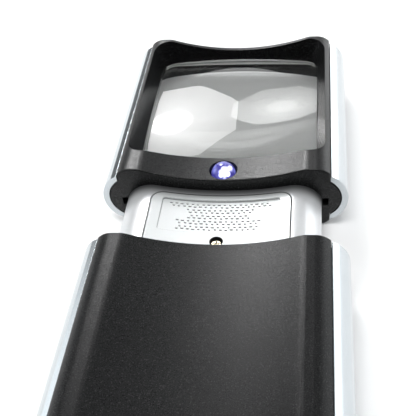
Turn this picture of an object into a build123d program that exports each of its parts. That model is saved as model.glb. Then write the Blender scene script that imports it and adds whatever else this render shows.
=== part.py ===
from build123d import *
import math
import os

# Pocket slide-out magnifier with a violet lamp for looking at banknotes.
# Millimetres.  +X across the lens, +Y along the slide towards the lens head,
# +Z up: the side with the lamp and the battery door.  The origin is under the
# middle of the object, pulled out as it rests, on the surface it lies on.
# Inside this file, heights named HIGH or LOW are measured from the mid plane.

# ---- driving dimensions ----
THICKNESS = 15.0        # over the raised crests, both sides
HALF_WIDTH = 21.5       # black mouldings, without the side rails
HEAD_LENGTH = 49.6
CASE_LENGTH = 50.0
REST_EXTENSION = 17.8   # gap between case and head at rest
MAX_EXTRA_TRAVEL = 4.0  # from rest to the end stop
SLIDER_LENGTH = 47.0

# ---- places along the slide ----
CASE_END = -(HEAD_LENGTH + CASE_LENGTH + REST_EXTENSION) / 2
CASE_MOUTH = CASE_END + CASE_LENGTH
HEAD_FACE = CASE_MOUTH + REST_EXTENSION
HEAD_END = HEAD_FACE + HEAD_LENGTH
SLIDER_TAIL = HEAD_FACE - SLIDER_LENGTH
MID = THICKNESS / 2

# ---- moulded shells ----
UPPER_HOLLOW = (4.7, (16.0, 7.28))  # half thickness in the middle, and the hollow's edge
LOWER_HOLLOW = (6.1, (15.6, 7.3))   # the underside is hollowed less
CREST_IN = 17.2
CREST_OUT = 18.6
SIDE_TOP = 6.2          # where the rounded shoulder meets the flat side
FLANGE = ((21.5, 4.2), (22.6, 3.1), (23.4, 1.7), (23.75, 0.0))
END_ROUND = 0.3         # along the ends' outer edges
END_ROUND_ABOVE = 4.4
PARTING_STEP = 0.12     # where the two halves of a moulding meet at its open end
SKIN = 1.5
SIDE_WALL_TOP = (19.0, 20.1, 4.4)  # the bays' upper outer corner is bevelled
END_WALL = 1.6
MOUTH_WALL = 1.6
RIB = 1.2
RIB_COUNT = 3

# ---- side rails, bent round the flanges ----
RAIL_CENTRE_X = 18.5
RAIL_OUTER = 6.65
RAIL_INNER = 5.4
RAIL_EDGE_X = 21.58
LIP_TOP = (21.78, 5.64)  # highest corner of the flat lip
LIP_SIDE_TOP = 5.5
LIP_ANGLE = 48.6         # degrees round the rail, where the flat lip ends
HEAD_RAIL_SHORT = 0.5   # the head's rails stop this far before its far end

# ---- slider ----
SLIDER_DIP = 1.95
SLIDER_CREST_START = (13.4, 3.38)
SLIDER_CREST_END = (16.8, 3.1)
SLIDER_CREST_FACING = (0.3, 0.95)  # which way the outer end of the crest faces
SLIDER_HALF = 19.85
SLIDER_WALL = 0.9
SLIDE_GAP = 0.25        # between slider and case, all round
SLIDER_FRONT_WALL = 0.8
SLIDER_TAIL_WALL = 1.0
LUG_LENGTH = 3.0
LUG_REACH = 20.75
LUG_ROOT = 1.5          # how far a lug runs into the slider's side
LUG_LOW, LUG_HIGH = -1.0, -0.2
STOP_GAP = 0.05
TONGUE_X = (9.2, 15.8)
TONGUE_LOW, TONGUE_HIGH = -1.2, -0.05
TONGUE_REACH = 4.8
TONGUE_PIN_X = 12.5
TONGUE_PIN_Y = HEAD_FACE + 2.6
TONGUE_PIN_RADIUS = 0.9
FIT_GAP = 0.05
CLEAR = 1.0             # how far a cutting shape runs past what it cuts
OVERLAP = 0.1           # how far a shape runs into what it is joined to
SAME = 0.01             # lengths this close count as equal

# ---- battery compartment ----
CELL_DIAMETER = 12.5    # CR1220
CELL_HEIGHT = 2.0
CELL_CAP_HEIGHT = 0.25
CELL_CAP_INSET = 1.1
CELL_EDGE = 0.3
PLATE_HALF = (2.5, 1.5)  # each contact plate, across and along the slide
CELL_X = 6.6
CELL_Y = HEAD_FACE - 8.9
POCKET_RADIUS = 6.35
FLOOR_LOW = -1.2
STRIP = 0.2             # thickness of the stamped contact strips
BLOCK_FRONT = HEAD_FACE - 1.75
BLOCK_REAR = HEAD_FACE - 18.4
RIM_HALF = 12.95
RIM_FRONT = HEAD_FACE - 2.4
RIM_REAR = HEAD_FACE - 15.4

# ---- battery door and its screw ----
DOOR_HALF = 13.88
DOOR_SEAM = 0.24
DOOR_FRONT = HEAD_FACE - 1.72
DOOR_REAR = HEAD_FACE - 18.5
DOOR_THICKNESS = 0.8
DOOR_CORNERS = (0.4, 2.5)  # near the screw, near the head
FIELD_HALF = 11.75
FIELD_FRONT = HEAD_FACE - 3.05
FIELD_REAR = HEAD_FACE - 12.2
FIELD_DEPTH = 0.42      # at its front step; it runs out towards the rear
FIELD_SLOPE = 2.0       # degrees
FIELD_CORNER = 0.5
MARK_ROWS = (10.2, 6.6, 6.3, 8.4, 8.2)  # half width of each row
MARK_MARGIN = 0.8        # from the field's ends to the first and last rows, in row pitches
MARK_HEIGHT = 0.18
MARK_HALF_DEPTH = 0.13
MARK_LENGTHS = (0.5, 0.35, 0.45, 0.3, 0.55, 0.4, 0.35)
MARK_SHIFTS = (0.36, -0.34, 0.4, -0.4, 0.32, -0.3)  # up and down within a row, in turn
MARK_SPACE = 0.12
SCREW_Y = HEAD_FACE - 14.5
COUNTERBORE_RADIUS = 1.3
BOSS_WALL = 0.6
BOSS_GAP = 0.25
COUNTERBORE_FLOOR = 0.8
SCREW_HEAD_RADIUS = 1.1
SCREW_HEAD_TOP = 1.4
SCREW_HEAD_EDGE = 0.3
SCREW_RADIUS = 0.7
SCREW_GAP = 0.1
SCREW_TIP = -0.7
RECESS_HALF = (0.75, 0.14)  # each slot of the cross recess
RECESS_DEPTH = 0.4
INSERT_RADIUS = 1.4
INSERT_BORE = 0.75
INSERT_TOP = 0.4
INSERT_BOTTOM = -1.0
INSERT_FLOOR = 0.2

# ---- switch and wiring ----
WIPER_X = 3.6
WIPER_HALF = 0.8
WIPER_TIP_Y = HEAD_FACE - 42.0
WIPER_TIP_LOW = -2.3
WIPER_RUN = (6.0, 2.2, -2.0)  # from the tip: its start, its bend downwards and its end
WIPER_TAIL_DROP = 0.2
WIPER_STRIP_START = 5.0  # the left contact's strip starts this far from the tip
WIPER_SLOT_HALF = 2.6
WIPER_SIDE_GAP = 0.3
STRIP_SIDE_GAP = 0.2
CHANNEL_HALF = 5.0
CHANNEL_LOW = -2.62
SWITCH_STRIP_HIGH = -2.36
SWITCH_STRIP = (-36.5, -20.6)
WIRE_RADIUS = 0.3
WIRE_BEND = 0.45
WIRE_SIDE_X = 16.0
WIRE_Y = HEAD_FACE - 1.28
WIRE_HIGH = -0.65
WIRE_NOTCH_GAP = 0.15
WIRE_NOTCH_REACH = (-2.0, 1.5)  # from the head's face
WIRE_INTO_HEAD = (1.3, 2.6, 4.2)  # from the head's face: level, down to the board, its end
WIRE_RIGHT_START = -2.3
WIRE_LEFT_RUN = (4.0, 8.0, 20.0)  # from the wiper's tip: its start, first bend, at the side
LEFT_NOTCH_X = -6.6
RIGHT_NOTCH_X = 6.6
TAB_HALF = 1.0          # the right contact's tab
TAB_END = HEAD_FACE - 1.65
TAB_NOTCH_HEIGHT = 0.9
TAB_SIDE_GAP = 0.3

# ---- lens and its well ----
LENS_RADIUS = 150.0     # both faces
LENS_HALF_THICK = 3.64
LENS_HALF_WIDTH = 18.72
LENS_NEAR = HEAD_FACE + 7.7
LENS_FAR = HEAD_FACE + 48.15
LENS_CORNER = 3.0
LENS_FLANGE = 0.42
LENS_FLANGE_HALF_THICK = 0.45
LENS_GAP = 0.08
WELL_FLOOR = 2.3
WELL_TOP = 7.6
WELL_TOP_HALF_WIDTH = 20.7
WELL_TOP_NEAR = HEAD_FACE + 6.2
WELL_TOP_FAR = HEAD_FACE + 48.6
WELL_TOP_CORNERS = (3.2, 4.5)  # near, far

# ---- small recesses beside the slider, in the head's near face ----
RELIEF_X = (20.0, 21.2)
RELIEF_HEIGHT = 2.0
RELIEF_DEPTH = 2.2

# ---- lamp, board and their pocket in the near bar ----
LAMP_Y = HEAD_FACE + 3.25
LAMP_HOLE_RADIUS = 2.9
LAMP_RADIUS = 2.5
LAMP_FLANGE_RADIUS = 2.8
LAMP_FLANGE_HEIGHT = 0.6
LAMP_TOP = 6.2
BOARD_HALF = 8.0
BOARD_NEAR = HEAD_FACE + 0.85
BOARD_FAR = HEAD_FACE + 6.2
BOARD_LOW, BOARD_HIGH = -2.6, -1.6
LEG_X = 1.27
LEG_HALF = 0.25
LEG_LOW = -3.2
LEG_ROOM = 1.0          # round the leads' ends, under the board
RESISTOR = (1.6, 0.8, 0.5)
RESISTOR_X = 4.6
POCKET_GAP = 0.1


# ---- helpers ----
def bar(section, y_low, y_high):
    """Extrude a cross-section, drawn in X and Z about the mid plane, along Y."""
    across = Plane(origin=(0, y_high, MID), x_dir=(1, 0, 0), z_dir=(0, -1, 0))
    return extrude(across * section, y_high - y_low)


def slab(section, low, high):
    """Extrude a plan view between two heights."""
    return extrude(Pos(0, 0, MID + low) * section, high - low)


def block(x_low, x_high, y_low, y_high, low, high):
    """A plain box given by its limits."""
    size = (x_high - x_low, y_high - y_low, high - low)
    centre = ((x_low + x_high) / 2, (y_low + y_high) / 2, MID + (low + high) / 2)
    return Pos(*centre) * Box(*size)


def rod(x, y, radius, low, high):
    """An upright cylinder."""
    return slab(Pos(x, y) * Circle(radius), low, high)


def plan(half_width, y_near, y_far, near_corner, far_corner):
    """A rectangle in plan, rounded differently at its near and far corners."""
    centre_y = (y_near + y_far) / 2
    outline = Pos(0, centre_y) * Rectangle(2 * half_width, y_far - y_near)
    corners = outline.vertices().sort_by(Axis.Y)
    outline = fillet(corners[:2], near_corner)
    corners = outline.vertices().filter_by(lambda v: v.Y > y_far - SAME)
    return fillet(corners, far_corner)


def below(solid):
    """The same shape on the other side of the mid plane."""
    return mirror(solid, about=Plane.XY.offset(MID))


def left(solid):
    """The same shape on the other side, across the slide."""
    return mirror(solid, about=Plane.YZ)


def whole(half):
    """A right half of a cross-section joined with its mirror image."""
    return half + mirror(half, about=Plane.YZ)


# ---- cross-sections, upper halves ----
def shell_section(hollow):
    middle, edge = hollow
    with BuildSketch() as half:
        with BuildLine():
            dip = TangentArc((0, middle), edge, tangent=(1, 0))
            TangentArc(edge, (CREST_IN, MID), tangent=dip % 1)
            Line((CREST_IN, MID), (CREST_OUT, MID))
            TangentArc((CREST_OUT, MID), (HALF_WIDTH, SIDE_TOP), tangent=(1, 0))
            Polyline((HALF_WIDTH, SIDE_TOP), *FLANGE, (0, 0), (0, middle))
        make_face()
    return whole(half.sketch)


def bay_section(hollow):
    """The space under a shell's skin, between two ribs."""
    middle = (0, hollow[0] - SKIN)
    edge = (hollow[1][0], hollow[1][1] - SKIN)
    bevel_in, side, bevel_low = SIDE_WALL_TOP
    with BuildSketch() as half:
        with BuildLine():
            TangentArc(middle, edge, tangent=(1, 0))
            Polyline(edge, (bevel_in, edge[1]), (side, bevel_low), (side, 0), (0, 0), middle)
        make_face()
    return whole(half.sketch)


def slider_section(grow=0.0):
    """The slider's outline, moved outwards by grow."""
    start = (0, SLIDER_DIP + grow)
    crest_start = (SLIDER_CREST_START[0], SLIDER_CREST_START[1] + grow)
    out, up = SLIDER_CREST_FACING
    crest_end = (SLIDER_CREST_END[0] + grow * out, SLIDER_CREST_END[1] + grow * up)
    side = (SLIDER_HALF + grow, 0)
    with BuildSketch() as half:
        with BuildLine():
            dip = TangentArc(start, crest_start, tangent=(1, 0))
            crest = TangentArc(crest_start, crest_end, tangent=dip % 1)
            TangentArc(crest_end, side, tangent=crest % 1)
            Polyline(side, (0, 0), start)
        make_face()
    return whole(half.sketch)


def rail_section():
    """A right-hand rail: an open C with a flat lip along each edge."""
    centre = (RAIL_CENTRE_X, 0)
    inner_angle = math.degrees(math.acos((RAIL_EDGE_X - RAIL_CENTRE_X) / RAIL_INNER))
    with BuildSketch() as half:
        with BuildLine():
            outside = CenterArc(centre, RAIL_OUTER, 0, LIP_ANGLE)
            inside = CenterArc(centre, RAIL_INNER, 0, inner_angle)
            Polyline(outside @ 1, LIP_TOP, (RAIL_EDGE_X, LIP_SIDE_TOP), inside @ 1)
            Line(inside @ 0, outside @ 0)
        make_face()
    return half.sketch + mirror(half.sketch, about=Plane.XZ)


# ---- case ----
def shell_blank(hollow, y_low, y_high):
    """A solid upper shell with its end edges eased."""
    blank = bar(shell_section(hollow), y_low, y_high)
    top_edges = [
        edge
        for edge in blank.edges()
        if edge.bounding_box().size.Y < SAME and edge.center().Z > MID + END_ROUND_ABOVE
    ]
    return fillet(top_edges, END_ROUND)


def parting_step(y):
    """Shallow step round the top of a lower moulding's open end."""
    half_width = FLANGE[-1][0] + CLEAR
    return block(-half_width, half_width, y - PARTING_STEP, y + PARTING_STEP, -PARTING_STEP, CLEAR)


def case_bays(hollow):
    """Spaces between the case's ribs."""
    clear = CASE_LENGTH - END_WALL - MOUTH_WALL - RIB_COUNT * RIB
    length = clear / (RIB_COUNT + 1)
    bays = []
    for index in range(RIB_COUNT + 1):
        start = CASE_END + END_WALL + index * (length + RIB)
        bays.append(bar(bay_section(hollow), start, start + length))
    return bays


def case_shell(hollow):
    """Shell open at its mouth, in its upper place."""
    shell = shell_blank(hollow, CASE_END, CASE_MOUTH)
    shell -= bar(slider_section(SLIDE_GAP), CASE_END + END_WALL, CASE_MOUTH + CLEAR)
    for bay in case_bays(hollow):
        shell -= bay
    return shell


def case_lower_shell():
    shell = below(case_shell(LOWER_HOLLOW)) - parting_step(CASE_MOUTH)
    inner = CASE_END + END_WALL
    shell -= block(-CHANNEL_HALF, CHANNEL_HALF, inner, CASE_MOUTH - MOUTH_WALL, CHANNEL_LOW, 0)
    stop = SLIDER_TAIL + LUG_LENGTH + MAX_EXTRA_TRAVEL + STOP_GAP
    side_groove = block(SLIDER_HALF - CLEAR, LUG_REACH + SLIDE_GAP, inner, stop, LUG_LOW - SLIDE_GAP, 0)
    return shell - side_groove - left(side_groove)


def rail(y_low, y_high):
    return bar(rail_section(), y_low, y_high)


def switch_strip():
    half_width = CHANNEL_HALF - 2 * FIT_GAP
    return block(-half_width, half_width, *SWITCH_STRIP, CHANNEL_LOW, SWITCH_STRIP_HIGH)


# ---- slider ----
def slider_tube(wall_y_low, wall_y_high):
    """Upper half of the slider's wall, closed at both ends."""
    outside = bar(slider_section(), SLIDER_TAIL, HEAD_FACE)
    inside = bar(slider_section(-SLIDER_WALL), SLIDER_TAIL + wall_y_low, HEAD_FACE - wall_y_high)
    return outside - inside


def door_outline(grow):
    near_corner, far_corner = DOOR_CORNERS
    ends = (DOOR_REAR - grow, DOOR_FRONT + grow)
    return plan(DOOR_HALF + grow, *ends, near_corner + grow, far_corner + grow)


def wire_notch(x):
    """Way out of the slider for one wire, cut at the parting plane."""
    half = WIRE_RADIUS + WIRE_NOTCH_GAP
    near, far = WIRE_NOTCH_REACH
    return block(x - half, x + half, HEAD_FACE + near, HEAD_FACE + far, WIRE_HIGH - half, 0)


def slider_cover():
    cover = slider_tube(SLIDER_TAIL_WALL, SLIDER_FRONT_WALL)
    return cover - slab(door_outline(DOOR_SEAM), 0, MID)


def battery_block():
    """Cell pockets and the rim that carries the door."""
    core = bar(slider_section(-DOOR_THICKNESS - FIT_GAP), BLOCK_REAR, BLOCK_FRONT)
    core += below(bar(slider_section(-SLIDER_WALL / 2), BLOCK_REAR, BLOCK_FRONT))
    core &= slab(door_outline(0), -MID, MID)
    core -= block(-RIM_HALF, RIM_HALF, RIM_REAR, RIM_FRONT, CELL_HEIGHT / 2, MID)
    for x in (-CELL_X, CELL_X):
        core -= rod(x, CELL_Y, POCKET_RADIUS, FLOOR_LOW, MID)
    core -= rod(0, SCREW_Y, COUNTERBORE_RADIUS + BOSS_WALL + BOSS_GAP, INSERT_TOP, MID)
    core -= rod(0, SCREW_Y, INSERT_RADIUS, INSERT_BOTTOM, INSERT_TOP)
    return core


def slider_tray():
    tray = below(slider_tube(SLIDER_TAIL_WALL, SLIDER_FRONT_WALL))
    flat_floor = (SLIDER_TAIL + SLIDER_TAIL_WALL, HEAD_FACE - SLIDER_FRONT_WALL)
    tray -= block(-CHANNEL_HALF, CHANNEL_HALF, *flat_floor, FLOOR_LOW, 0)
    tray += battery_block()
    reach = (HEAD_FACE - SLIDER_FRONT_WALL, HEAD_FACE + TONGUE_REACH)
    tongue = block(*TONGUE_X, *reach, TONGUE_LOW, TONGUE_HIGH)
    tongue -= rod(TONGUE_PIN_X, TONGUE_PIN_Y, TONGUE_PIN_RADIUS + FIT_GAP, -MID, MID)
    lug_ends = (SLIDER_TAIL, SLIDER_TAIL + LUG_LENGTH)
    lug = block(SLIDER_HALF - LUG_ROOT, LUG_REACH, *lug_ends, LUG_LOW, LUG_HIGH)
    for piece in (tongue, lug):
        tray += piece + left(piece)
    for x in (LEFT_NOTCH_X, RIGHT_NOTCH_X):
        tray -= wire_notch(x)
    for x in (-WIPER_X, WIPER_X):
        tray -= wiper_slot(x)
        tray -= strip_groove(x)
    return tray - tab_notch()


def wiper_slot(x):
    """Opening in the tray's floor that the wiper reaches through."""
    half_width = WIPER_HALF + WIPER_SIDE_GAP
    span = (WIPER_TIP_Y - WIPER_SLOT_HALF, WIPER_TIP_Y + WIPER_SLOT_HALF)
    return block(x - half_width, x + half_width, *span, -MID, FLOOR_LOW + FIT_GAP)


def strip_groove(x):
    """Way for a contact strip along the floor, under the cells' rear wall."""
    half_width = WIPER_HALF + STRIP_SIDE_GAP
    span = (BLOCK_REAR - CLEAR, CELL_Y)
    return block(x - half_width, x + half_width, *span, FLOOR_LOW, FLOOR_LOW + STRIP + FIT_GAP)


def tab_notch():
    """Way out of the right cell's pocket for its contact strip."""
    half_width = TAB_HALF + TAB_SIDE_GAP
    span = (RIGHT_NOTCH_X - half_width, RIGHT_NOTCH_X + half_width)
    return block(*span, CELL_Y, TAB_END + FIT_GAP, FLOOR_LOW, FLOOR_LOW + TAB_NOTCH_HEIGHT)


def battery_door():
    """Curved plate with a sunk, sloping field of plain raised marks."""
    skin = bar(slider_section(), DOOR_REAR, DOOR_FRONT)
    skin -= bar(slider_section(-DOOR_THICKNESS), DOOR_REAR, DOOR_FRONT)
    door = skin & slab(door_outline(0), 0, MID)
    door -= field_layer(0, MID) & field_prism()
    door += field_layer(-OVERLAP, MARK_HEIGHT) & marks()
    boss_top = SLIDER_DIP - DOOR_THICKNESS / 2
    door += rod(0, SCREW_Y, COUNTERBORE_RADIUS + BOSS_WALL, INSERT_TOP, boss_top)
    door -= rod(0, SCREW_Y, COUNTERBORE_RADIUS, COUNTERBORE_FLOOR, MID)
    return door - rod(0, SCREW_Y, SCREW_RADIUS + SCREW_GAP, 0, MID)


def field_layer(low, high):
    """The slab between two levels over the sunk field's sloping floor."""
    middle = (FIELD_FRONT + FIELD_REAR) / 2
    half_run = (FIELD_FRONT - FIELD_REAR) / 2
    mean_depth = FIELD_DEPTH - half_run * math.tan(math.radians(FIELD_SLOPE))
    span = (FIELD_REAR - CLEAR, FIELD_FRONT + CLEAR)
    layer = bar(slider_section(high - mean_depth), *span)
    layer -= bar(slider_section(low - mean_depth), *span)
    hinge = Pos(0, middle, MID + SLIDER_DIP)
    return hinge * Rot(X=-FIELD_SLOPE) * hinge.inverse() * layer


def field_prism():
    return slab(plan(FIELD_HALF, FIELD_REAR, FIELD_FRONT, FIELD_CORNER, FIELD_CORNER), 0, MID)


def marks():
    """Rows of short plain dashes, of a few lengths in turn."""
    pitch = (FIELD_FRONT - FIELD_REAR) / (len(MARK_ROWS) - 1 + 2 * MARK_MARGIN)
    dashes = []
    turn = 0
    for row, half_row in enumerate(MARK_ROWS):
        x = -half_row
        while x < half_row - MARK_LENGTHS[turn % len(MARK_LENGTHS)]:
            length = MARK_LENGTHS[turn % len(MARK_LENGTHS)]
            y = FIELD_FRONT - pitch * (row + MARK_MARGIN) + MARK_SHIFTS[turn % len(MARK_SHIFTS)]
            dashes.append(block(x, x + length, y - MARK_HALF_DEPTH, y + MARK_HALF_DEPTH, 0, MID))
            x += length + MARK_SPACE
            turn += 1
    return Compound(children=dashes)


def door_screw():
    """Small pan head with a cross recess."""
    head = rod(0, SCREW_Y, SCREW_HEAD_RADIUS, COUNTERBORE_FLOOR, SCREW_HEAD_TOP)
    head = fillet(head.edges().group_by(Axis.Z)[-1], SCREW_HEAD_EDGE)
    screw = head + rod(0, SCREW_Y, SCREW_RADIUS, SCREW_TIP, COUNTERBORE_FLOOR)
    for half_x, half_y in (RECESS_HALF, reversed(RECESS_HALF)):
        span = (SCREW_Y - half_y, SCREW_Y + half_y)
        screw -= block(-half_x, half_x, *span, SCREW_HEAD_TOP - RECESS_DEPTH, MID)
    return screw


def door_insert():
    body = rod(0, SCREW_Y, INSERT_RADIUS, INSERT_BOTTOM, INSERT_TOP)
    return body - rod(0, SCREW_Y, INSERT_BORE, INSERT_BOTTOM + INSERT_FLOOR, INSERT_TOP)


def coin_cell(x):
    """Wide can below, narrower cap above."""
    radius = CELL_DIAMETER / 2
    half_height = CELL_HEIGHT / 2
    can = rod(x, CELL_Y, radius, -half_height, half_height - CELL_CAP_HEIGHT)
    can = fillet(can.edges().group_by(Axis.Z)[-1], CELL_EDGE)
    return can + rod(x, CELL_Y, radius - CELL_CAP_INSET, 0, half_height)


def cell_bridge():
    top = SLIDER_DIP - DOOR_THICKNESS
    across, along = PLATE_HALF
    half_width = CELL_X + across
    return block(-half_width, half_width, CELL_Y - along, CELL_Y + along, CELL_HEIGHT / 2, top)


def wiper(x):
    """Bent leaf that reaches down through the tray's floor to the switch strip."""
    low = FLOOR_LOW + STRIP / 2
    tip = WIPER_TIP_LOW + STRIP / 2
    start, bend, end = WIPER_RUN
    with BuildSketch() as ribbon:
        with BuildLine():
            Polyline(
                (WIPER_TIP_Y + start, low),
                (WIPER_TIP_Y + bend, low),
                (WIPER_TIP_Y, tip),
                (WIPER_TIP_Y + end, low - WIPER_TAIL_DROP),
            )
        trace(line_width=STRIP)
    side = Plane(origin=(x - WIPER_HALF, 0, MID), x_dir=(0, 1, 0), z_dir=(1, 0, 0))
    return extrude(side * ribbon.sketch, 2 * WIPER_HALF)


def contact_left():
    """Plate under the left cell, its strip rearwards, and the left wiper."""
    low, high = FLOOR_LOW, FLOOR_LOW + STRIP
    across, along = PLATE_HALF
    plate = block(-CELL_X - across, -WIPER_X + WIPER_HALF, CELL_Y - along, CELL_Y + along, low, high)
    strip_x = (-WIPER_X - WIPER_HALF, -WIPER_X + WIPER_HALF)
    strip = block(*strip_x, WIPER_TIP_Y + WIPER_STRIP_START, CELL_Y, low, high)
    return plate + strip + wiper(-WIPER_X)


def contact_right():
    """Plate under the right cell and its tab forwards to the wire."""
    low, high = FLOOR_LOW, FLOOR_LOW + STRIP
    across, along = PLATE_HALF
    plate = block(CELL_X - across, CELL_X + across, CELL_Y - along, CELL_Y + along, low, high)
    return plate + block(CELL_X - TAB_HALF, CELL_X + TAB_HALF, CELL_Y, TAB_END, low, high)


def wire(points):
    """A round wire along straight runs joined by arcs."""
    path = FilletPolyline(*[(x, y, MID + z) for x, y, z in points], radius=WIRE_BEND)
    start = Plane(origin=path @ 0, z_dir=path % 0)
    return sweep(start * Circle(WIRE_RADIUS), path=path)


def wire_right():
    """From the right cell's contact tab to the board."""
    tab_high = FLOOR_LOW + STRIP + WIRE_RADIUS
    board_high = BOARD_HIGH + WIRE_RADIUS
    level, down, end = WIRE_INTO_HEAD
    return wire([
        (RIGHT_NOTCH_X, HEAD_FACE + WIRE_RIGHT_START, tab_high),
        (RIGHT_NOTCH_X, HEAD_FACE + level, tab_high),
        (RIGHT_NOTCH_X, HEAD_FACE + down, board_high),
        (RIGHT_NOTCH_X, HEAD_FACE + end, board_high),
    ])


def wire_left():
    """From the right wiper, round the battery block, to the board."""
    board_high = BOARD_HIGH + WIRE_RADIUS
    wiper_high = FLOOR_LOW + STRIP + WIRE_RADIUS
    start, bend, side = WIRE_LEFT_RUN
    level, down, end = WIRE_INTO_HEAD
    return wire([
        (WIPER_X, WIPER_TIP_Y + start, wiper_high),
        (WIPER_X, WIPER_TIP_Y + bend, wiper_high),
        (-WIRE_SIDE_X, WIPER_TIP_Y + side, WIRE_HIGH),
        (-WIRE_SIDE_X, WIRE_Y, WIRE_HIGH),
        (LEFT_NOTCH_X, WIRE_Y, WIRE_HIGH),
        (LEFT_NOTCH_X, HEAD_FACE + level, WIRE_HIGH),
        (LEFT_NOTCH_X, HEAD_FACE + down, board_high),
        (LEFT_NOTCH_X, HEAD_FACE + end, board_high),
    ])


# ---- head ----
def lens_outline(grow):
    ends = (LENS_NEAR - grow, LENS_FAR + grow)
    return plan(LENS_HALF_WIDTH + grow, *ends, LENS_CORNER, LENS_CORNER)


def lens_prism(grow, low, high):
    return slab(lens_outline(grow), low, high)


def lens():
    """Rectangular lens, the overlap of two spheres, with a thin mounting flange."""
    centre_y = (LENS_NEAR + LENS_FAR) / 2
    offset = LENS_RADIUS - LENS_HALF_THICK
    body = lens_prism(0, -MID, MID)
    for height in (MID - offset, MID + offset):
        body &= Pos(0, centre_y, height) * Sphere(LENS_RADIUS)
    return body + lens_prism(LENS_FLANGE, -LENS_FLANGE_HALF_THICK, LENS_FLANGE_HALF_THICK)


def lens_well():
    """Opening over the lens: straight at the lens, then widening to the top."""
    well = lens_prism(LENS_GAP, -OVERLAP, WELL_FLOOR)
    well += lens_prism(LENS_FLANGE + LENS_GAP, -OVERLAP, LENS_FLANGE_HALF_THICK)
    top = plan(WELL_TOP_HALF_WIDTH, WELL_TOP_NEAR, WELL_TOP_FAR, *WELL_TOP_CORNERS)
    floor_face = (Pos(0, 0, MID + WELL_FLOOR) * lens_outline(LENS_GAP)).face()
    top_face = (Pos(0, 0, MID + WELL_TOP) * top).face()
    return well + loft([floor_face, top_face])


def head_upper_frame():
    frame = shell_blank(UPPER_HOLLOW, HEAD_FACE, HEAD_END)
    frame -= lens_well()
    frame -= rod(0, LAMP_Y, LAMP_HOLE_RADIUS, 0, MID)
    for x in (-TONGUE_PIN_X, TONGUE_PIN_X):
        frame += rod(x, TONGUE_PIN_Y, TONGUE_PIN_RADIUS, TONGUE_LOW, OVERLAP)
    return frame


def head_lower_frame():
    frame = below(shell_blank(LOWER_HOLLOW, HEAD_FACE, HEAD_END) - lens_well())
    frame -= parting_step(HEAD_FACE)
    half_width = BOARD_HALF + POCKET_GAP
    ends = (BOARD_NEAR - POCKET_GAP, BOARD_FAR + POCKET_GAP)
    frame -= block(-half_width, half_width, *ends, BOARD_LOW, 0)
    frame -= rod(0, LAMP_Y, LAMP_HOLE_RADIUS, BOARD_HIGH, 0)
    frame -= leg_slot()
    span = (TONGUE_X[0] - FIT_GAP, TONGUE_X[1] + FIT_GAP)
    reach = (HEAD_FACE - CLEAR, HEAD_FACE + TONGUE_REACH + POCKET_GAP)
    tongue_way = block(*span, *reach, TONGUE_LOW - FIT_GAP, 0)
    frame -= tongue_way + left(tongue_way)
    for x in (LEFT_NOTCH_X, RIGHT_NOTCH_X):
        frame -= wire_notch(x)
    corner_relief = block(*RELIEF_X, HEAD_FACE - CLEAR, HEAD_FACE + RELIEF_DEPTH, -RELIEF_HEIGHT, 0)
    return frame - corner_relief - left(corner_relief)


def leg_slot():
    """Room for the ends of the lamp's leads under the board."""
    half_width = LEG_X + LEG_ROOM
    ends = (LAMP_Y - LEG_ROOM, LAMP_Y + LEG_ROOM)
    return block(-half_width, half_width, *ends, LEG_LOW - POCKET_GAP, 0)


def lamp():
    """Round 5 mm lamp: flange, body and dome."""
    flange = rod(0, LAMP_Y, LAMP_FLANGE_RADIUS, BOARD_HIGH, BOARD_HIGH + LAMP_FLANGE_HEIGHT)
    dome_low = LAMP_TOP - LAMP_RADIUS
    body = rod(0, LAMP_Y, LAMP_RADIUS, BOARD_HIGH, dome_low)
    dome = Pos(0, LAMP_Y, MID + dome_low) * Sphere(LAMP_RADIUS)
    return flange + body + dome


def lamp_legs():
    """Two square leads, from the lamp down through the board."""
    legs = []
    for x in (-LEG_X, LEG_X):
        legs.append(
            block(x - LEG_HALF, x + LEG_HALF, LAMP_Y - LEG_HALF, LAMP_Y + LEG_HALF, LEG_LOW, BOARD_HIGH)
        )
    return Compound(children=legs)


def circuit_board():
    board = block(-BOARD_HALF, BOARD_HALF, BOARD_NEAR, BOARD_FAR, BOARD_LOW, BOARD_HIGH)
    for leg in lamp_legs().solids():
        board -= leg
    return board


def resistor():
    width, depth, height = RESISTOR
    size = (width, depth, height)
    return Pos(RESISTOR_X, LAMP_Y, MID + BOARD_HIGH + height / 2) * Box(*size)


# ---- sub-parts ----
head_rail = rail(HEAD_FACE, HEAD_END - HEAD_RAIL_SHORT)
case_rail = rail(CASE_END, CASE_MOUTH)
parts = {
    "case_upper_shell": case_shell(UPPER_HOLLOW),
    "case_lower_shell": case_lower_shell(),
    "case_rail_right": case_rail,
    "case_rail_left": left(case_rail),
    "switch_strip": switch_strip(),
    "slider_cover": slider_cover(),
    "slider_tray": slider_tray(),
    "battery_door": battery_door(),
    "door_screw": door_screw(),
    "door_insert": door_insert(),
    "coin_cell_right": coin_cell(CELL_X),
    "coin_cell_left": coin_cell(-CELL_X),
    "cell_bridge": cell_bridge(),
    "contact_left": contact_left(),
    "contact_right": contact_right(),
    "wiper_right": wiper(WIPER_X),
    "wire_right": wire_right(),
    "wire_left": wire_left(),
    "head_upper_frame": head_upper_frame(),
    "head_lower_frame": head_lower_frame(),
    "head_rail_right": head_rail,
    "head_rail_left": left(head_rail),
    "lens": lens(),
    "lamp": lamp(),
    "lamp_legs": lamp_legs(),
    "circuit_board": circuit_board(),
    "resistor": resistor(),
}

os.makedirs("parts", exist_ok=True)
for name, shape in parts.items():
    export_step(shape, f"parts/{name}.step")
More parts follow.
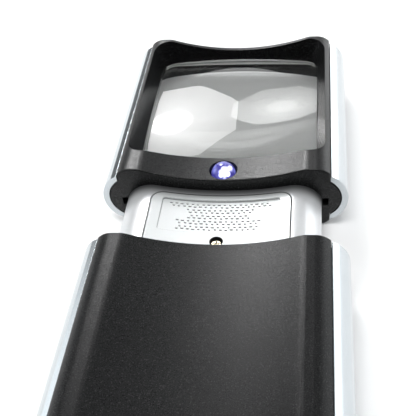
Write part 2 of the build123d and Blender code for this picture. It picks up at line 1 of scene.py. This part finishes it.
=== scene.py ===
"""Pocket slide-out magnifier with a violet lamp, lying pulled out on a white table.

Metres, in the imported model's frame: +X across the lens, +Y along the slide
towards the lens head, +Z up.
"""
import bpy
import math
from mathutils import Euler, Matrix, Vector


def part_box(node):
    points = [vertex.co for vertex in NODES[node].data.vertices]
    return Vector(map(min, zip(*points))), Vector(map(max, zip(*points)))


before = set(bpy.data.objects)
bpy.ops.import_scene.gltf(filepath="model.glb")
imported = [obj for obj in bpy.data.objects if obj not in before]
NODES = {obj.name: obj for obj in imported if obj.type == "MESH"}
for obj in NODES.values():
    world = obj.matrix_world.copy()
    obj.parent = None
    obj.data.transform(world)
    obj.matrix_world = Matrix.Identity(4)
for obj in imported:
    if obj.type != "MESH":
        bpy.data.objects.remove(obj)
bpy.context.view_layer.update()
MM = 0.001

# ---- colours, linear ----
BLACK = (0.0045, 0.0047, 0.005)
BLACK_PATCH = (0.008, 0.0082, 0.0085)
BLACK_SPECK = (0.045, 0.0455, 0.046)
BLACK_WORN = (0.03, 0.031, 0.032)
# darkened worn edges together with painted shade in crevices
GRIME_AND_SHADE = (0.13, 0.133, 0.137)
# painted shade and reflection of the head on the slider next to it
HEAD_SHADE = (0.035, 0.036, 0.038)
# painted shade of the deep counterbore around the door screw
BORE_SHADE = (0.008, 0.008, 0.008)
LAMP_BODY = (0.05, 0.05, 0.2)
LAMP_VIOLET = (0.32, 0.35, 0.95)
LAMP_DEEP_VIOLET = (0.05, 0.04, 0.3)
LAMP_WHITE = (0.95, 0.96, 1.0)

# each pair is a finish's main colour and its darker patches
RAIL = ((0.64, 0.68, 0.705), (0.55, 0.59, 0.61))
SLIDER_PAINT = ((0.78, 0.79, 0.8), (0.7, 0.71, 0.72))
DOOR_PAINT = ((0.74, 0.76, 0.76), (0.67, 0.69, 0.69))
# grey tint on clear acrylic: painted shade of the table seen through the lens
LENS_SHADE_TINT = ((0.72, 0.73, 0.722), (0.765, 0.77, 0.762))
NICKEL = ((0.84, 0.79, 0.66), (0.52, 0.43, 0.3))
BRASS = ((0.78, 0.58, 0.26), (0.6, 0.42, 0.17))
SPRING = ((0.7, 0.7, 0.69), (0.5, 0.5, 0.49))
CELL = ((0.78, 0.78, 0.79), (0.62, 0.62, 0.63))
BOARD = ((0.02, 0.16, 0.06), (0.015, 0.11, 0.045))
CERAMIC = ((0.02, 0.02, 0.02), (0.04, 0.04, 0.04))
RED = ((0.55, 0.02, 0.015), (0.42, 0.015, 0.012))
WIRE_BLACK = ((0.02, 0.02, 0.02), (0.035, 0.035, 0.035))
TABLE = ((0.9, 0.9, 0.9), (0.92, 0.922, 0.922))

# ---- stretches of a texture; 1 is even, less draws it out along that axis ----
EVEN = (1.0, 1.0, 1.0)
FINE_LINES = (1.0, 0.02, 1.0)
SCRATCHES = (1.0, 0.12, 1.0)
WIPES = (1.0, 0.35, 1.0)
LONG_PATCHES = (1.0, 0.5, 1.0)


# ---- node helpers ----
class Nodes:
    """Short ways to build a node tree."""

    def __init__(self, tree):
        self.tree = tree
        self.tree.nodes.clear()

    def add(self, kind, **values):
        node = self.tree.nodes.new(kind)
        for name, value in values.items():
            setattr(node, name, value)
        return node

    def link(self, source, target):
        self.tree.links.new(source, target)

    def between(self, value, result, span=(0.0, 1.0), smooth=False):
        """Map the span of a value onto the result's two ends."""
        node = self.add("ShaderNodeMapRange")
        if smooth:
            node.interpolation_type = "SMOOTHSTEP"
        node.inputs["From Min"].default_value, node.inputs["From Max"].default_value = span
        node.inputs["To Min"].default_value, node.inputs["To Max"].default_value = result
        self.link(value, node.inputs["Value"])
        return node.outputs["Result"]

    def math(self, operation, first, second=0.0):
        node = self.add("ShaderNodeMath", operation=operation)
        for socket, value in zip(node.inputs, (first, second)):
            if isinstance(value, (int, float)):
                socket.default_value = value
            else:
                self.link(value, socket)
        return node.outputs[0]

    def vector_math(self, operation, first, second):
        """Combine a linked vector with another, linked or fixed."""
        node = self.add("ShaderNodeVectorMath", operation=operation)
        self.link(first, node.inputs[0])
        if isinstance(second, bpy.types.NodeSocket):
            self.link(second, node.inputs[1])
        else:
            node.inputs[1].default_value = second
        return node


class Shader(Nodes):
    """One procedural material."""

    def __init__(self, name):
        self.material = bpy.data.materials.new(name)
        self.material.use_nodes = True
        super().__init__(self.material.node_tree)
        self.output = self.add("ShaderNodeOutputMaterial")
        self.coordinates = self.add("ShaderNodeTexCoord").outputs["Object"]

    def mapped(self, scale, location=(0.0, 0.0, 0.0)):
        """Object coordinates, scaled by a different amount along each axis."""
        mapping = self.add("ShaderNodeMapping")
        mapping.inputs["Scale"].default_value = scale
        mapping.inputs["Location"].default_value = location
        self.link(self.coordinates, mapping.inputs["Vector"])
        return mapping.outputs["Vector"]

    def noise(self, size, detail=2.0, stretch=EVEN):
        """Noise whose features are about size metres across."""
        texture = self.add("ShaderNodeTexNoise")
        texture.inputs["Scale"].default_value = 1.0 / size
        texture.inputs["Detail"].default_value = detail
        self.link(self.mapped(stretch), texture.inputs["Vector"])
        return texture.outputs["Fac"]

    def spots(self, size):
        """Distance from scattered points about size metres apart, in units of size."""
        texture = self.add("ShaderNodeTexVoronoi")
        texture.inputs["Scale"].default_value = 1.0 / size
        self.link(self.coordinates, texture.inputs["Vector"])
        return texture.outputs["Distance"]

    def from_axis(self, centre):
        """Distance from the upright line through a point."""
        flat = self.mapped((1.0, 1.0, 0.0), (-centre.x, -centre.y, 0.0))
        length = self.add("ShaderNodeVectorMath", operation="LENGTH")
        self.link(flat, length.inputs[0])
        return length.outputs["Value"]

    def part_of(self, vector, axis):
        """One component, "X", "Y" or "Z", of a vector."""
        node = self.add("ShaderNodeSeparateXYZ")
        self.link(vector, node.inputs["Vector"])
        return node.outputs[axis]

    def normal(self):
        return self.add("ShaderNodeNewGeometry").outputs["Normal"]

    def ramp(self, value, stops):
        """A grey ramp; stops are (position, grey)."""
        node = self.add("ShaderNodeValToRGB")
        elements = node.color_ramp.elements
        while len(elements) < len(stops):
            elements.new(0.5)
        for element, (position, grey) in zip(elements, stops):
            element.position = position
            element.color = (grey, grey, grey, 1.0)
        self.link(value, node.inputs["Fac"])
        return node.outputs["Color"]

    def mix(self, factor, first, second):
        """Mix two colours, each a link or (r, g, b)."""
        node = self.add("ShaderNodeMix", data_type="RGBA")
        factor_in, colour_in = node.inputs[0], (node.inputs[6], node.inputs[7])
        self.link(factor, factor_in)
        for socket, value in zip(colour_in, (first, second)):
            if isinstance(value, tuple):
                socket.default_value = (*value, 1.0)
            else:
                self.link(value, socket)
        return node.outputs[2]

    def rounded_normal(self, radius):
        """The normal that the surface would have with its sharp edges rounded."""
        bevel = self.add("ShaderNodeBevel", samples=4)
        bevel.inputs["Radius"].default_value = radius
        return bevel.outputs["Normal"]

    def worn_edges(self, radius):
        """1 on a solid's sharp edges, 0 on its flats."""
        dot = self.vector_math("DOT_PRODUCT", self.rounded_normal(radius), self.normal())
        return self.between(dot.outputs["Value"], (1.0, 0.0), span=(0.6, 0.98))

    def crevice_shade(self, reach):
        """1 where the surface is boxed in within reach, 0 where it is open; a mask for painted shade
        in crevices.
        """
        occlusion = self.add("ShaderNodeAmbientOcclusion", samples=8, only_local=True)
        occlusion.inputs["Distance"].default_value = reach
        return self.between(occlusion.outputs["AO"], (1.0, 0.0), span=(0.55, 0.85))

    def bump(self, height, strength, distance, edge_radius=None):
        node = self.add("ShaderNodeBump")
        node.inputs["Strength"].default_value = strength
        node.inputs["Distance"].default_value = distance
        self.link(height, node.inputs["Height"])
        if edge_radius:
            self.link(self.rounded_normal(edge_radius), node.inputs["Normal"])
        return node.outputs["Normal"]

    def surface(self, **inputs):
        """The principled surface; each input is a number, a colour or a link."""
        bsdf = self.add("ShaderNodeBsdfPrincipled")
        for name, value in inputs.items():
            socket = bsdf.inputs[name.replace("_", " ")]
            if isinstance(value, tuple):
                socket.default_value = (*value, 1.0)
            elif isinstance(value, (int, float)):
                socket.default_value = value
            else:
                self.link(value, socket)
        self.link(bsdf.outputs["BSDF"], self.output.inputs["Surface"])
        return self.material


# ---- materials ----
def black_plastic(name, smooth_walls, gloss):
    """Black moulding, finely sandblasted on top; its steep walls may be smoother."""
    s = Shader(name)
    pits = s.spots(size=0.2 * MM)
    fine = s.noise(size=0.15 * MM, detail=3.0)
    grain = s.math("MULTIPLY", s.math("ADD", fine, pits), 0.5)
    patches = s.noise(size=9.0 * MM)
    specks = s.between(s.noise(size=0.22 * MM, detail=1.0), (0.0, 1.0), span=(0.56, 0.78))
    worn = s.math("MULTIPLY", s.worn_edges(radius=0.12 * MM), s.between(patches, (0.1, 0.55)))
    tone = s.mix(s.between(patches, (0.2, 0.8)), BLACK, BLACK_PATCH)
    tone = s.mix(specks, tone, BLACK_SPECK)
    tone = s.mix(worn, tone, BLACK_WORN)
    rough = s.between(grain, (0.25, 0.44), span=(0.35, 0.65))
    if smooth_walls:
        wall_rough = (0.26, 0.26, 0.26)
        uprightness = s.math("ABSOLUTE", s.part_of(s.normal(), "Z"))
        steep = s.between(uprightness, (1.0, 0.0), span=(0.45, 0.75))
        rough = s.mix(steep, rough, wall_rough)
        grain = s.math("MULTIPLY", grain, s.between(steep, (1.0, 0.12)))
    bump = s.bump(grain, strength=0.55, distance=0.035 * MM, edge_radius=0.15 * MM)
    return s.surface(
        Base_Color=tone, Roughness=rough, Normal=bump, Specular_IOR_Level=gloss, IOR=1.5
    )


def satin_metal(name, colours, rough):
    """Silver rail finish: fine lines along the extrusion and soft darker patches."""
    s = Shader(name)
    main, dark = colours
    lines = s.noise(size=0.1 * MM, stretch=FINE_LINES)
    patches = s.noise(size=6.0 * MM, detail=3.0, stretch=LONG_PATCHES)
    tone = s.mix(s.between(lines, (0.0, 0.5), span=(0.3, 0.7)), main, dark)
    tone = s.mix(s.between(patches, (0.0, 0.25), span=(0.4, 0.75)), tone, dark)
    line_rough = s.between(lines, (-0.03, 0.04))
    roughness = s.math("ADD", line_rough, s.between(patches, (rough, rough + 0.05)))
    bump = s.bump(lines, strength=0.03, distance=0.02 * MM, edge_radius=0.12 * MM)
    return s.surface(Base_Color=tone, Metallic=0.9, Roughness=roughness, Normal=bump)


def silver_paint(name, colours, rough, metallic):
    """Metallic paint on plastic: darkened on its worn edges, with painted shade in its crevices, in
    the counterbore around the screw's axis, and painted shade and reflection in the corner against
    the head."""
    s = Shader(name)
    main, dark = colours
    wear_and_shade_rough = (0.8, 0.8, 0.8)
    flakes = s.spots(size=0.12 * MM)
    grain = s.noise(size=0.2 * MM)
    patches = s.noise(size=7.0 * MM)
    worn = s.math("MULTIPLY", s.worn_edges(radius=0.13 * MM), s.between(patches, (0.6, 1.0)))
    # wear on the edges plus painted shade in crevices, from ambient occlusion
    wear_and_shade = s.math("MAXIMUM", worn, s.crevice_shade(reach=0.22 * MM))
    # painted shade in the screw's counterbore; it also paints a dark disc on the tray's underside
    bore_shade_mask = painted_bore_shade(s)
    tone = s.mix(s.between(flakes, (0.0, 0.4), span=(0.1, 0.7)), main, dark)
    tone = s.mix(s.between(patches, (0.0, 0.25), span=(0.4, 0.7)), tone, dark)
    # darkened worn edges and painted crevice shade
    tone = s.mix(wear_and_shade, tone, GRIME_AND_SHADE)
    # painted counterbore shade
    tone = s.mix(bore_shade_mask, tone, BORE_SHADE)
    # painted shade and reflection of the head near its face
    tone = s.mix(painted_head_shade(s), tone, HEAD_SHADE)
    clean_rough = s.between(grain, (rough - 0.04, rough + 0.06))
    roughness = s.mix(s.math("MAXIMUM", wear_and_shade, bore_shade_mask), clean_rough, wear_and_shade_rough)
    height = s.math("ADD", grain, s.math("MULTIPLY", flakes, 0.4))
    bump = s.bump(height, strength=0.12, distance=0.02 * MM, edge_radius=0.04 * MM)
    return s.surface(Base_Color=tone, Metallic=metallic, Roughness=roughness, Normal=bump)


def painted_bore_shade(s):
    """Mask of painted shade in the door screw's counterbore: 1 within its radius of the screw's
    axis, at every height, so also on the tray's underside; 0 outside it."""
    bore_gap = 0.24 * MM
    edge = 0.04 * MM
    screw_low, screw_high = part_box("door_screw")
    radius = (screw_high.x - screw_low.x) / 2 + bore_gap
    from_screw = s.from_axis((screw_low + screw_high) / 2)
    return s.between(from_screw, (1.0, 0.0), span=(radius - edge, radius))


def painted_head_shade(s):
    """Rises from 0 to nearly 1 along the last few millimetres before the head: a mask of painted
    shade and reflection of the head.
    """
    reach = 3.5 * MM
    head_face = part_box("head_upper_frame")[0].y
    along = s.part_of(s.coordinates, "Y")
    return s.between(along, (0.0, 0.94), span=(head_face - reach, head_face), smooth=True)


def clear_acrylic():
    """Polished lens, with faint wipe marks that only show in its gloss; its grey tint is painted
    shade of the table seen through it.
    """
    s = Shader("lens_clear")
    wipes = s.noise(size=4.0 * MM, detail=4.0, stretch=WIPES)
    wipe_rough = s.between(wipes, (0.0, 0.006), span=(0.55, 0.8))
    speck_rough = s.between(s.spots(size=1.6 * MM), (0.03, 0.0), span=(0.01, 0.03))
    bump = s.bump(wipes, strength=0.008, distance=0.01 * MM)
    return s.surface(
        # grey tint: painted shade
        Base_Color=s.mix(s.between(wipes, (0.0, 1.0)), *LENS_SHADE_TINT),
        Roughness=s.math("ADD", wipe_rough, speck_rough),
        Normal=bump,
        IOR=1.49,
        Transmission_Weight=1.0,
    )


def metal(name, colours, rough, size):
    """Small stamped or turned metal parts; size is that of their scratches."""
    s = Shader(name)
    main, dark = colours
    scratches = s.noise(size=size, detail=3.0, stretch=SCRATCHES)
    blotches = s.noise(size=size * 8)
    tone = s.mix(s.between(blotches, (0.0, 0.7), span=(0.35, 0.7)), main, dark)
    roughness = s.between(scratches, (rough - 0.06, rough + 0.12))
    bump = s.bump(scratches, strength=0.15, distance=0.02 * MM, edge_radius=0.05 * MM)
    return s.surface(Base_Color=tone, Metallic=1.0, Roughness=roughness, Normal=bump)


def plain_plastic(name, colours, rough):
    """Small plastic or ceramic parts: insulation, solder mask, resistor body."""
    s = Shader(name)
    main, dark = colours
    grain = s.noise(size=0.15 * MM)
    patches = s.noise(size=2.0 * MM)
    tone = s.mix(s.between(patches, (0.0, 1.0), span=(0.3, 0.7)), main, dark)
    roughness = s.between(grain, (rough - 0.05, rough + 0.08))
    bump = s.bump(grain, strength=0.1, distance=0.02 * MM, edge_radius=0.05 * MM)
    return s.surface(Base_Color=tone, Roughness=roughness, Normal=bump)


def lamp_glow():
    """The lit lamp: a white-hot core low on one side of its blue-violet facets."""
    s = Shader("lamp_violet")
    low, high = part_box("lamp")
    centre = (low + high) / 2
    core_place = (centre.x + 0.5 * MM, centre.y - 1.1 * MM, high.z - 0.9 * MM)
    core_edge = (1.3 * MM, 2.1 * MM)
    facet_relief = 0.9 * MM
    offset = s.vector_math("SUBTRACT", s.coordinates, core_place)
    length = s.add("ShaderNodeVectorMath", operation="LENGTH")
    s.link(offset.outputs["Vector"], length.inputs[0])
    facets = s.between(s.spots(size=1.2 * MM), (0.0, 1.0), span=(0.1, 0.7))
    reach = s.math("ADD", length.outputs["Value"], s.math("MULTIPLY", facets, facet_relief))
    core = s.between(reach, (1.0, 0.0), span=core_edge)
    rim = s.mix(facets, LAMP_VIOLET, LAMP_DEEP_VIOLET)
    return s.surface(
        Base_Color=LAMP_BODY,
        Roughness=0.12,
        Normal=s.bump(facets, strength=0.2, distance=0.2 * MM),
        Emission_Color=s.mix(core, rim, LAMP_WHITE),
        Emission_Strength=s.between(core, (0.8, 4.0)),
        Coat_Weight=0.6,
    )


def paint_nodes():
    """Give every CAD node its material."""
    shell = black_plastic("shell_black", smooth_walls=False, gloss=0.19)
    head = black_plastic("frame_black", smooth_walls=True, gloss=0.32)
    rail = satin_metal("rail_silver", RAIL, rough=0.13)
    slider = silver_paint("slider_silver", SLIDER_PAINT, rough=0.32, metallic=0.4)
    brass = metal("brass", BRASS, rough=0.3, size=0.2 * MM)
    spring = metal("spring_steel", SPRING, rough=0.28, size=0.2 * MM)
    cell = metal("cell_steel", CELL, rough=0.22, size=0.2 * MM)
    finishes = {
        "case_upper_shell": shell,
        "case_lower_shell": shell,
        "case_rail_right": rail,
        "case_rail_left": rail,
        "switch_strip": brass,
        "slider_cover": slider,
        "slider_tray": slider,
        "battery_door": silver_paint("door_silver", DOOR_PAINT, rough=0.45, metallic=0.25),
        "door_screw": metal("screw_nickel", NICKEL, rough=0.2, size=0.15 * MM),
        "door_insert": brass,
        "coin_cell_right": cell,
        "coin_cell_left": cell,
        "cell_bridge": spring,
        "contact_left": spring,
        "contact_right": spring,
        "wiper_right": spring,
        "wire_right": plain_plastic("wire_red", RED, rough=0.4),
        "wire_left": plain_plastic("wire_black", WIRE_BLACK, rough=0.4),
        "head_upper_frame": head,
        "head_lower_frame": head,
        "head_rail_right": rail,
        "head_rail_left": rail,
        "lens": clear_acrylic(),
        "lamp": lamp_glow(),
        "lamp_legs": spring,
        "circuit_board": plain_plastic("board_green", BOARD, rough=0.35),
        "resistor": plain_plastic("resistor_black", CERAMIC, rough=0.4),
    }
    for name, material in finishes.items():
        slots = NODES[name].data.materials
        slots.clear()
        slots.append(material)


# ---- stage ----
def add_flat(name, corners, material):
    """An object with one flat face."""
    mesh = bpy.data.meshes.new(name)
    mesh.from_pydata(corners, [], [tuple(range(len(corners)))])
    mesh.materials.append(material)
    flat = bpy.data.objects.new(name, mesh)
    bpy.context.scene.collection.objects.link(flat)
    return flat


def make_floor():
    """A wide white table, very slightly uneven in tone."""
    half = 3.0
    corners = [(-half, -half, 0), (half, -half, 0), (half, half, 0), (-half, half, 0)]
    s = Shader("white_table")
    tone = s.mix(s.between(s.noise(size=0.15), (0.0, 1.0)), *TABLE)
    rough = s.between(s.noise(size=0.02), (0.5, 0.6))
    white = s.surface(
        Base_Color=tone, Roughness=rough, Emission_Color=(1.0, 1.0, 1.0), Emission_Strength=0.08
    )
    floor = add_flat("floor", corners, white)


def direction(azimuth, elevation):
    """A unit vector; azimuth is in degrees from +Y towards +X."""
    turn, rise = math.radians(azimuth), math.radians(elevation)
    flat = math.cos(rise)
    return Vector((flat * math.sin(turn), flat * math.cos(turn), math.sin(rise)))


def make_world(base, glows):
    """A dim room with soft glows, each (azimuth, elevation, inner angle, outer angle, radiance)."""
    room_tint = (0.95, 0.98, 1.0, 1.0)
    world = bpy.data.worlds.new("studio")
    bpy.context.scene.world = world
    world.use_nodes = True
    n = Nodes(world.node_tree)
    way = n.add("ShaderNodeTexCoord").outputs["Generated"]
    total = base
    for azimuth, elevation, inner, outer, radiance in glows:
        dot = n.vector_math("DOT_PRODUCT", way, direction(azimuth, elevation))
        edge = (math.cos(math.radians(outer)), math.cos(math.radians(inner)))
        glow = n.between(dot.outputs["Value"], (0.0, radiance), span=edge, smooth=True)
        total = n.math("ADD", glow, total)
    background = n.add("ShaderNodeBackground")
    background.inputs["Color"].default_value = room_tint
    n.link(total, background.inputs["Strength"])
    output = n.add("ShaderNodeOutputWorld")
    n.link(background.outputs["Background"], output.inputs["Surface"])


def make_panel(name, azimuth, elevation, distance, width, height, radiance):
    """A rectangular softbox that faces the object."""
    towards = direction(azimuth, elevation)
    data = bpy.data.lights.new(name, "AREA")
    data.shape = "RECTANGLE"
    data.size = width
    data.size_y = height
    data.energy = radiance * math.pi * width * height
    light = bpy.data.objects.new(name, data)
    light.location = towards * distance
    light.rotation_euler = towards.to_track_quat("Z", "Y").to_euler()
    bpy.context.scene.collection.objects.link(light)


def make_octagon(azimuth, elevation, distance, radius, turn, radiance, falloff):
    """An eight-sided softbox; falloff is its brightness from its middle to its rim."""
    sides = 8
    towards = direction(azimuth, elevation)
    centre = towards * distance
    across = Vector((0, 0, 1)).cross(towards).normalized()
    upwards = towards.cross(across)
    corners = []
    for index in range(sides):
        angle = math.radians(360 / sides * index + turn)
        outwards = math.cos(angle) * across + math.sin(angle) * upwards
        corners.append(centre + radius * outwards)
    s = Shader("softbox_cloth")
    offset = s.vector_math("DISTANCE", s.coordinates, centre)
    spread = s.ramp(s.between(offset.outputs["Value"], (0.0, 1.0), span=(0.0, radius)), falloff)
    emission = s.add("ShaderNodeEmission")
    s.link(s.math("MULTIPLY", spread, radiance), emission.inputs["Strength"])
    s.link(emission.outputs["Emission"], s.output.inputs["Surface"])
    softbox = add_flat("softbox", corners, s.material)


def make_camera(location, turns, focal_length):
    """A pinhole view; turns are degrees about X, Y and Z."""
    data = bpy.data.cameras.new("camera")
    data.sensor_width = 36.0
    data.lens = focal_length
    data.clip_start = 5 * MM
    camera = bpy.data.objects.new("camera", data)
    camera.location = location
    camera.rotation_euler = Euler([math.radians(turn) for turn in turns], "XYZ")
    bpy.context.scene.collection.objects.link(camera)
    bpy.context.scene.camera = camera


def make_stage():
    """Table, dim room, softboxes, and a view from above the case towards the head."""
    make_floor()
    make_world(base=0.08, glows=[
        (0.0, 60.0, 20.0, 50.0, 0.25),
        (-82.0, 10.0, 24.0, 38.0, 1.4),
        (58.0, 14.0, 22.0, 36.0, 1.8),
    ])
    make_octagon(
        azimuth=-21.5, elevation=37.0, distance=1.1, radius=0.255, turn=8.5, radiance=50.0,
        falloff=[(0.0, 1.0), (0.22, 0.95), (0.3, 0.2), (0.7, 0.135), (1.0, 0.11)],
    )
    make_panel(
        "backdrop", azimuth=6.0, elevation=12.0, distance=1.5, width=2.2, height=0.6, radiance=1.6
    )
    make_panel(
        "overhead", azimuth=180.0, elevation=78.0, distance=1.1, width=0.65, height=0.4, radiance=9.0
    )
    make_camera(location=(0.0190, -0.1110, 0.1169), turns=(47.21, 5.03, 5.96), focal_length=69.2)
    bpy.context.scene.view_settings.view_transform = "Standard"


paint_nodes()
make_stage()
